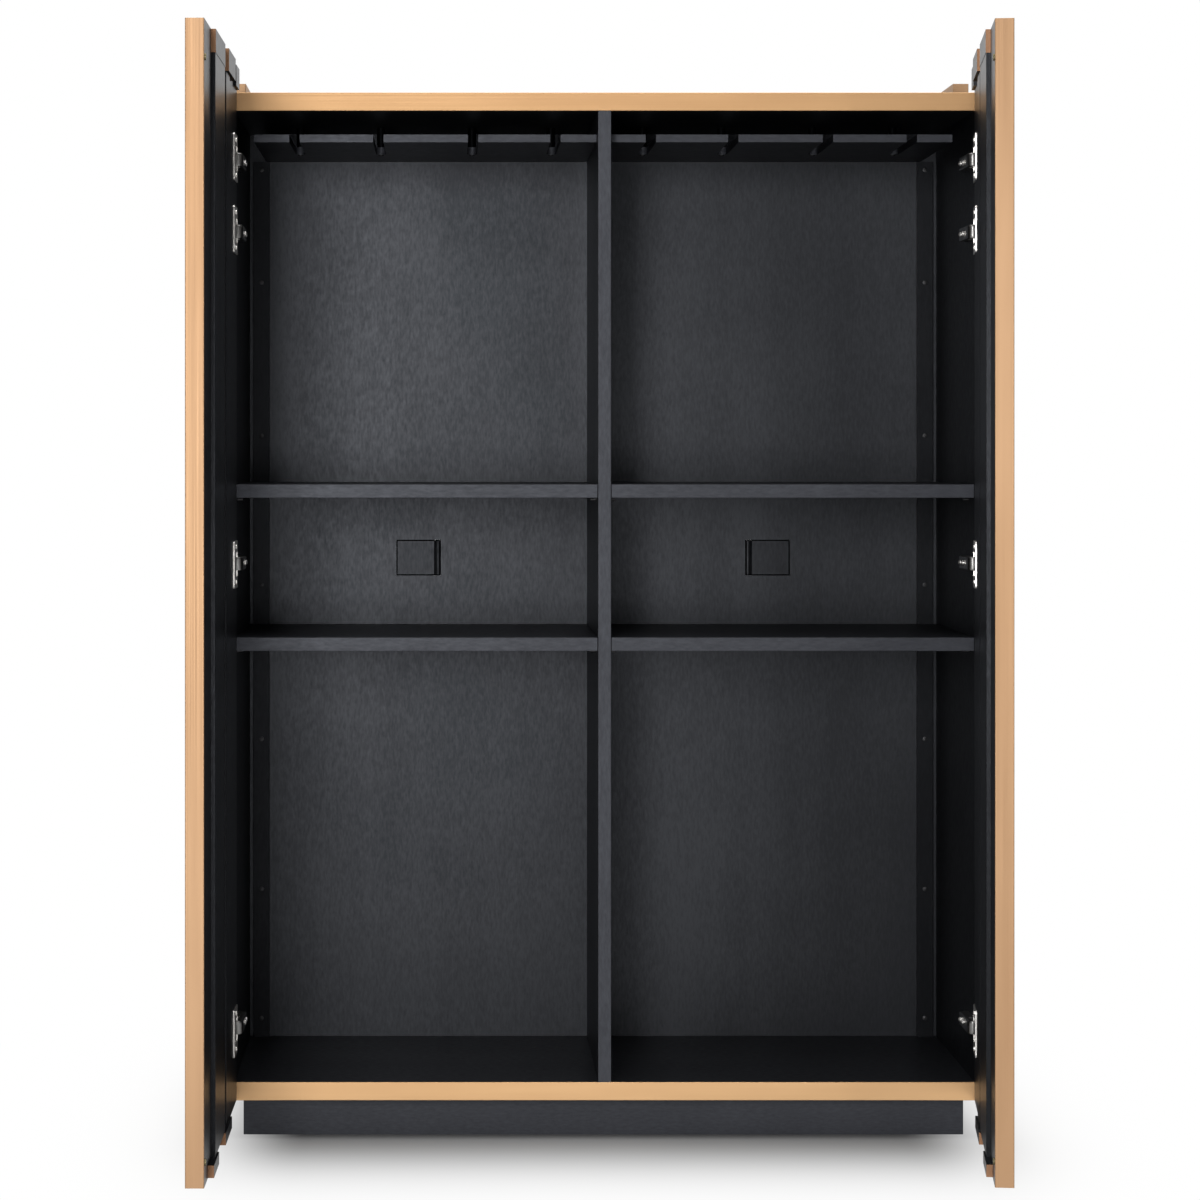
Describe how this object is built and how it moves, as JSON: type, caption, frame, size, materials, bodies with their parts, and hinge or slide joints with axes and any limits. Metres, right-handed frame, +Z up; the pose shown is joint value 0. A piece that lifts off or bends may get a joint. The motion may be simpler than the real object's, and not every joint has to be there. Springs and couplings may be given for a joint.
{
  "type": "bar cabinet",
  "caption": "Tall bar cabinet with brass-edged swing doors, a divided black interior with shelves, hanging stemware rack and cord flaps in the back",
  "frame": {"origin": "on the floor, in the middle of the underside of the front plinth board", "axes": "X runs to the right as seen from the front, Y runs from the front to the back, Z runs up"},
  "size_m": [1.0576, 0.8916, 1.464],
  "materials": {
    "brass": "brushed lengthwise",
    "ebonised_wood": "satin, fine grain",
    "nickel": "nickel plated"
  },
  "bodies": {
    "carcass": {"back_batten_left": "ebonised_wood", "back_batten_right": "ebonised_wood", "back_panel": "ebonised_wood", "back_screws": "nickel", "bottom_board": "ebonised_wood", "bottom_edge": "brass", "cord_pins": "nickel", "divider": "ebonised_wood", "hinge_arms_left": "nickel", "hinge_arms_right": "nickel", "hinge_cams_left": "nickel", "hinge_cams_right": "nickel", "hinge_plates_left": "nickel", "hinge_plates_right": "nickel", "plinth_end_left": "ebonised_wood", "plinth_end_right": "ebonised_wood", "plinth_front": "ebonised_wood", "plinth_rear": "ebonised_wood", "rack_cleat_left": "ebonised_wood", "rack_cleat_right": "ebonised_wood", "rack_left": "ebonised_wood", "rack_right": "ebonised_wood", "rack_screws": "nickel", "rack_spacers": "nickel", "shelf_lower_left": "ebonised_wood", "shelf_lower_right": "ebonised_wood", "shelf_pins": "nickel", "shelf_upper_left": "ebonised_wood", "shelf_upper_right": "ebonised_wood", "side_crown_left": "brass", "side_crown_right": "brass", "side_panel_left": "ebonised_wood", "side_panel_right": "ebonised_wood", "side_sheet_left": "brass", "side_sheet_right": "brass", "top_board": "ebonised_wood", "top_edge": "brass"},
    "door_left": {"door_left_crown_plates": "ebonised_wood", "door_left_edge": "brass", "door_left_end_caps": "brass", "door_left_foot_plates": "ebonised_wood", "door_left_hinge_cups": "nickel", "door_left_hinge_pins": "nickel", "door_left_inner_panel": "ebonised_wood", "door_left_slab": "ebonised_wood", "door_left_staves": "brass", "door_left_strikes": "nickel"},
    "door_right": {"door_right_crown_plates": "ebonised_wood", "door_right_edge": "brass", "door_right_end_caps": "brass", "door_right_foot_plates": "ebonised_wood", "door_right_hinge_cups": "nickel", "door_right_hinge_pins": "nickel", "door_right_inner_panel": "ebonised_wood", "door_right_slab": "ebonised_wood", "door_right_staves": "brass", "door_right_strikes": "nickel"},
    "cord_flap_left": {"cord_flap_left": "ebonised_wood"},
    "cord_flap_right": {"cord_flap_right": "ebonised_wood"}
  },
  "joints": [
    {"name": "left_door_hinge", "type": "hinge", "parent": "carcass", "child": "door_left", "pos_m": [-0.514, -0.068, 0.79], "axis": [0, 0, 1], "range_deg": [-4.5, 90.5]},
    {"name": "right_door_hinge", "type": "hinge", "parent": "carcass", "child": "door_right", "pos_m": [0.514, -0.068, 0.79], "axis": [0, 0, 1], "range_deg": [-83.2, 11.8]},
    {"name": "left_cord_flap_hinge", "type": "hinge", "parent": "carcass", "child": "cord_flap_left", "pos_m": [-0.22915, 0.303, 0.786], "axis": [0, 0, 1], "range_deg": [-85, 0]},
    {"name": "right_cord_flap_hinge", "type": "hinge", "parent": "carcass", "child": "cord_flap_right", "pos_m": [0.22915, 0.303, 0.786], "axis": [0, 0, 1], "range_deg": [0, 85]}
  ]
}
